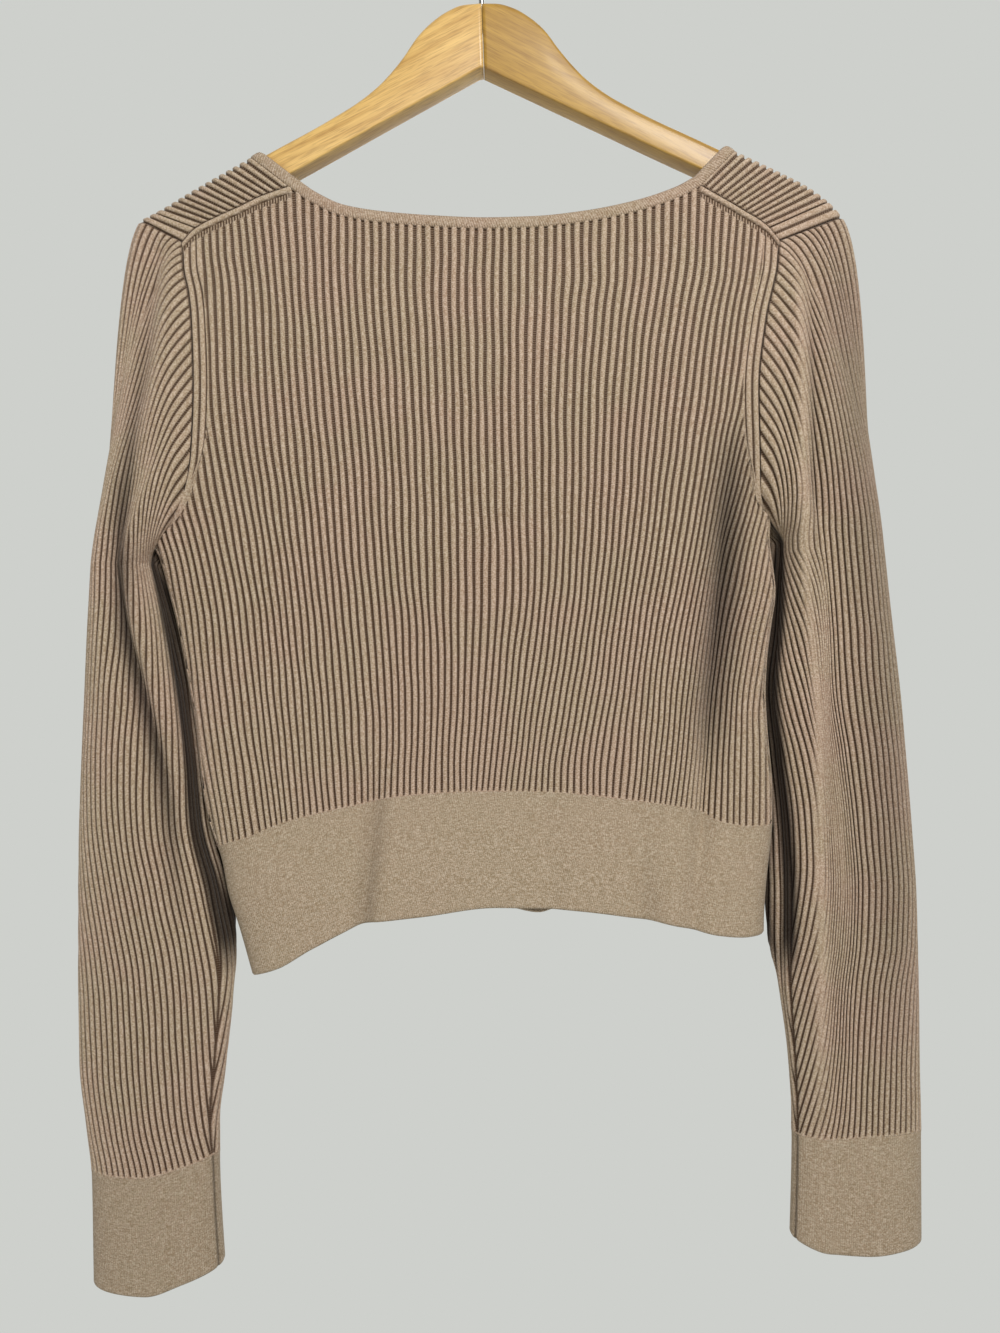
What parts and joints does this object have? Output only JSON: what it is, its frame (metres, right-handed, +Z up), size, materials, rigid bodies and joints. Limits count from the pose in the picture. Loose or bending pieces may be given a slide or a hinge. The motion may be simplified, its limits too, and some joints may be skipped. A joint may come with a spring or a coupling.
{
  "type": "cropped knit sweater on a wooden hanger",
  "caption": "Cropped long-sleeved rib-knit sweater with smooth hem band and cuffs, hanging on a wooden hanger.",
  "frame": {"origin": "inside top of the hook's crook, where the hanger hangs", "axes": "+Z up, +Y towards the front of the garment, +X towards the wearer's right sleeve"},
  "size_m": [0.504, 0.0539, 0.8389],
  "materials": {
    "ribbed_knit": "matte heathered rib knit",
    "smooth_knit": "matte heathered jersey knit",
    "lacquered_wood": "clear lacquer over pale wood",
    "steel_wire": "plain steel wire"
  },
  "bodies": {
    "root": {"back_panel": "ribbed_knit", "front_panel": "ribbed_knit", "sleeve_left": "ribbed_knit", "sleeve_right": "ribbed_knit", "hem_band_back": "smooth_knit", "hem_band_front": "smooth_knit", "cuff_left": "smooth_knit", "cuff_right": "smooth_knit", "neckband": "smooth_knit", "hanger_arm_left": "lacquered_wood", "hanger_arm_right": "lacquered_wood", "hanger_hook": "steel_wire"}
  },
  "joints": []
}
